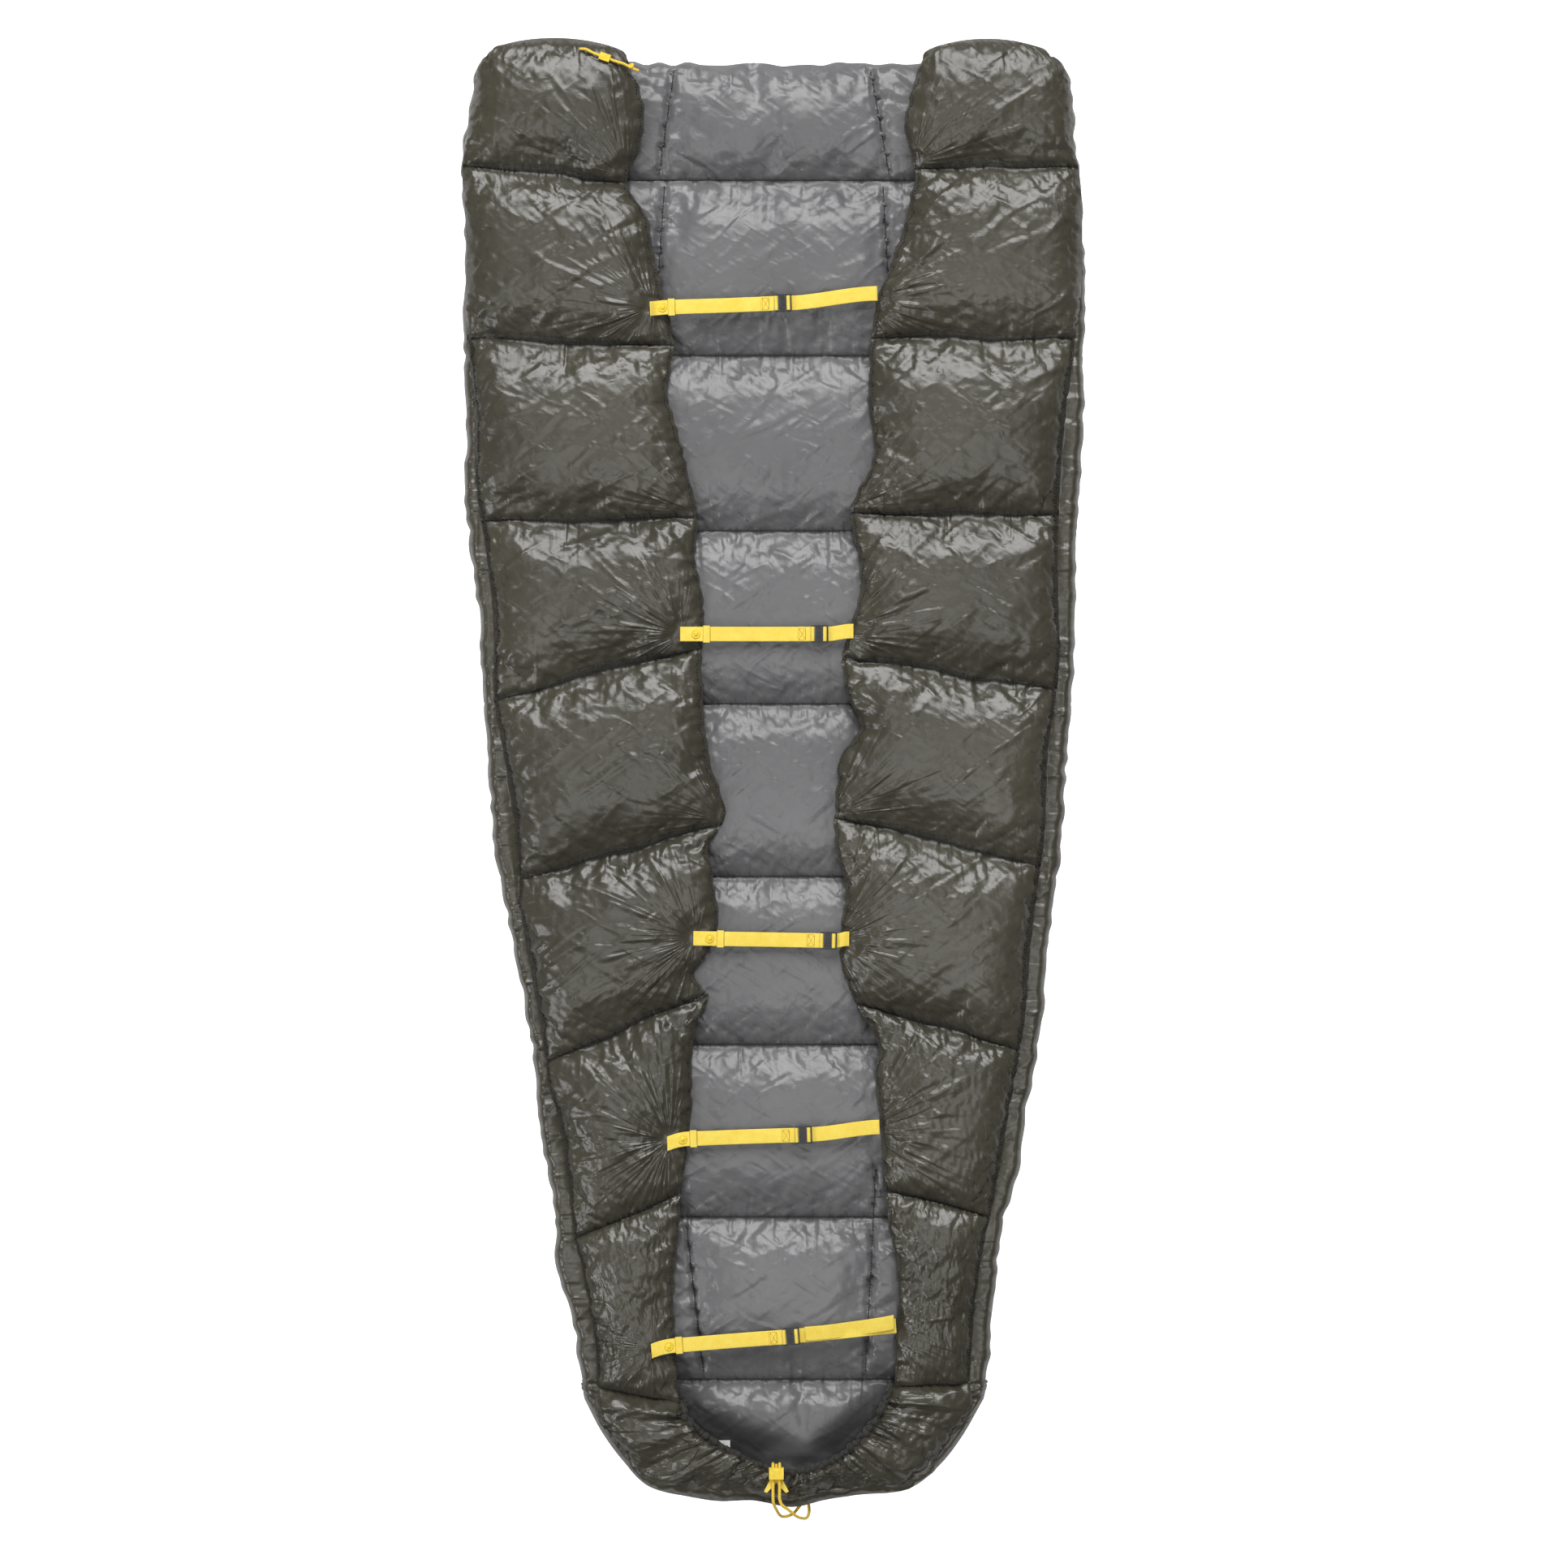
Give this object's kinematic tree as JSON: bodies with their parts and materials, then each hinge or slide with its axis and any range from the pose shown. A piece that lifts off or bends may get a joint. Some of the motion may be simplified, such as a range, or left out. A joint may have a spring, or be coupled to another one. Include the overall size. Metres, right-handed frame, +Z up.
{
  "type": "camp quilt",
  "caption": "Insulated camp quilt with both sides folded over the middle, held by webbing straps with flat buckles, and a drawcord-gathered foot.",
  "frame": {"origin": "middle of the underside, between the side edges, where the quilt rests on the ground", "axes": "+Y towards the head end, +Z up out of the ground towards the straps, +X to the right seen from above with the head up"},
  "size_m": [0.852, 2.0245, 0.067],
  "materials": {
    "shell_nylon": "glossy calendered ripstop nylon, olive grey",
    "liner_nylon": "semi-matt nylon taffeta, mid grey",
    "insulation": "loose off-white fill",
    "hem_tape": "gathered dark nylon binding",
    "webbing": "woven yellow webbing",
    "cord": "braided yellow cord",
    "yellow_plastic": "moulded yellow plastic",
    "black_plastic": "moulded black acetal",
    "label": "plain white satin tape"
  },
  "bodies": {
    "root": {"shell_body": "shell_nylon", "insulation_body": "insulation", "liner_body": "liner_nylon", "foot_hem": "hem_tape", "foot_drawcord": "cord", "label": "label", "strap_5_keeper": "webbing", "strap_5_snap_stud": "yellow_plastic"},
    "flap_left": {"shell_left_flap": "shell_nylon", "insulation_left_flap": "insulation", "liner_left_flap": "liner_nylon", "head_drawcord": "cord", "strap_1_keeper": "webbing", "strap_1_snap_stud": "yellow_plastic", "strap_2_keeper": "webbing", "strap_2_snap_stud": "yellow_plastic", "strap_3_keeper": "webbing", "strap_3_snap_stud": "yellow_plastic", "strap_4_keeper": "webbing", "strap_4_snap_stud": "yellow_plastic"},
    "flap_right": {"shell_right_flap": "shell_nylon", "insulation_right_flap": "insulation", "liner_right_flap": "liner_nylon"},
    "foot_lock": {"foot_cord_lock": "yellow_plastic", "foot_cord_pull": "webbing"},
    "foot_lock_button": {"foot_cord_lock_button": "yellow_plastic"},
    "head_toggle": {"head_cord_toggle": "yellow_plastic"},
    "strap_1_left": {"strap_1_webbing": "webbing", "strap_1_clip": "black_plastic"},
    "strap_1_tab": {"strap_1_snap_tab": "webbing", "strap_1_snap_cap": "yellow_plastic"},
    "strap_1_right": {"strap_1_adjuster": "black_plastic", "strap_1_tail": "webbing"},
    "strap_2_left": {"strap_2_webbing": "webbing", "strap_2_clip": "black_plastic"},
    "strap_2_tab": {"strap_2_snap_tab": "webbing", "strap_2_snap_cap": "yellow_plastic"},
    "strap_2_right": {"strap_2_adjuster": "black_plastic", "strap_2_tail": "webbing"},
    "strap_3_left": {"strap_3_webbing": "webbing", "strap_3_clip": "black_plastic"},
    "strap_3_tab": {"strap_3_snap_tab": "webbing", "strap_3_snap_cap": "yellow_plastic"},
    "strap_3_right": {"strap_3_adjuster": "black_plastic", "strap_3_tail": "webbing"},
    "strap_4_left": {"strap_4_webbing": "webbing", "strap_4_clip": "black_plastic"},
    "strap_4_tab": {"strap_4_snap_tab": "webbing", "strap_4_snap_cap": "yellow_plastic"},
    "strap_4_right": {"strap_4_adjuster": "black_plastic", "strap_4_tail": "webbing"},
    "strap_5_left": {"strap_5_webbing": "webbing", "strap_5_clip": "black_plastic"},
    "strap_5_tab": {"strap_5_snap_tab": "webbing", "strap_5_snap_cap": "yellow_plastic"},
    "strap_5_right": {"strap_5_adjuster": "black_plastic", "strap_5_tail": "webbing"}
  },
  "joints": [
    {"name": "flap_left_fold", "type": "hinge", "parent": "root", "child": "flap_left", "pos_m": [-0.24501, 0, 0.058], "axis": [0.1676, -0.9859, 0], "range_deg": [0, 165]},
    {"name": "flap_right_fold", "type": "hinge", "parent": "root", "child": "flap_right", "pos_m": [0.24501, 0, 0.058], "axis": [0.1676, 0.9859, 0], "range_deg": [0, 165]},
    {"name": "strap_1_left_lift", "type": "hinge", "parent": "flap_left", "child": "strap_1_left", "pos_m": [-0.13712, 0.63721, 0.0607], "axis": [-0.0349, 0.9994, 0], "range_deg": [-90, 0]},
    {"name": "strap_1_tab_lift", "type": "hinge", "parent": "flap_left", "child": "strap_1_tab", "pos_m": [-0.14671, 0.63688, 0.0607], "axis": [0.0349, -0.9994, 0], "range_deg": [-90, 0]},
    {"name": "strap_1_right_lift", "type": "hinge", "parent": "flap_right", "child": "strap_1_right", "pos_m": [0.13692, 0.64678, 0.0607], "axis": [0.0349, -0.9994, 0], "range_deg": [-90, 0]},
    {"name": "strap_2_left_lift", "type": "hinge", "parent": "flap_left", "child": "strap_2_left", "pos_m": [-0.0892, 0.19, 0.0607], "axis": [0, 1, 0], "range_deg": [-90, 0]},
    {"name": "strap_2_tab_lift", "type": "hinge", "parent": "flap_left", "child": "strap_2_tab", "pos_m": [-0.0988, 0.19, 0.0607], "axis": [0, -1, 0], "range_deg": [-90, 0]},
    {"name": "strap_2_right_lift", "type": "hinge", "parent": "flap_right", "child": "strap_2_right", "pos_m": [0.104, 0.19, 0.0607], "axis": [0, -1, 0], "range_deg": [-90, 0]},
    {"name": "strap_3_left_lift", "type": "hinge", "parent": "flap_left", "child": "strap_3_left", "pos_m": [-0.07019, -0.22678, 0.0607], "axis": [0.0175, 0.9998, 0], "range_deg": [-90, 0]},
    {"name": "strap_3_tab_lift", "type": "hinge", "parent": "flap_left", "child": "strap_3_tab", "pos_m": [-0.07979, -0.22661, 0.0607], "axis": [-0.0175, -0.9998, 0], "range_deg": [-90, 0]},
    {"name": "strap_3_right_lift", "type": "hinge", "parent": "flap_right", "child": "strap_3_right", "pos_m": [0.09799, -0.22971, 0.0607], "axis": [-0.0175, -0.9998, 0], "range_deg": [-90, 0]},
    {"name": "strap_4_left_lift", "type": "hinge", "parent": "flap_left", "child": "strap_4_left", "pos_m": [-0.10713, -0.49974, 0.0607], "axis": [-0.0349, 0.9994, 0], "range_deg": [-90, 0]},
    {"name": "strap_4_tab_lift", "type": "hinge", "parent": "flap_left", "child": "strap_4_tab", "pos_m": [-0.11673, -0.50008, 0.0607], "axis": [0.0349, -0.9994, 0], "range_deg": [-90, 0]},
    {"name": "strap_4_right_lift", "type": "hinge", "parent": "flap_right", "child": "strap_4_right", "pos_m": [0.13992, -0.49111, 0.0607], "axis": [0.0349, -0.9994, 0], "range_deg": [-90, 0]},
    {"name": "strap_5_left_lift", "type": "hinge", "parent": "root", "child": "strap_5_left", "pos_m": [-0.12681, -0.78198, 0.0607], "axis": [-0.0785, 0.9969, 0], "range_deg": [-90, 0]},
    {"name": "strap_5_tab_lift", "type": "hinge", "parent": "root", "child": "strap_5_tab", "pos_m": [-0.13638, -0.78273, 0.0607], "axis": [0.0785, -0.9969, 0], "range_deg": [-90, 0]},
    {"name": "strap_5_right_lift", "type": "hinge", "parent": "root", "child": "strap_5_right", "pos_m": [0.1625, -0.75921, 0.0607], "axis": [0.0785, -0.9969, 0], "range_deg": [-90, 0]},
    {"name": "foot_lock_slide", "type": "slide", "parent": "root", "child": "foot_lock", "axis": [0, 1, 0], "range_m": [-0.03, 0]},
    {"name": "foot_lock_press", "type": "slide", "parent": "foot_lock", "child": "foot_lock_button", "axis": [0, 1, 0], "range_m": [-0.003, 0]},
    {"name": "head_toggle_slide", "type": "slide", "parent": "flap_left", "child": "head_toggle", "axis": [0.9423, -0.3348, 0], "range_m": [-0.008, 0.008]}
  ]
}
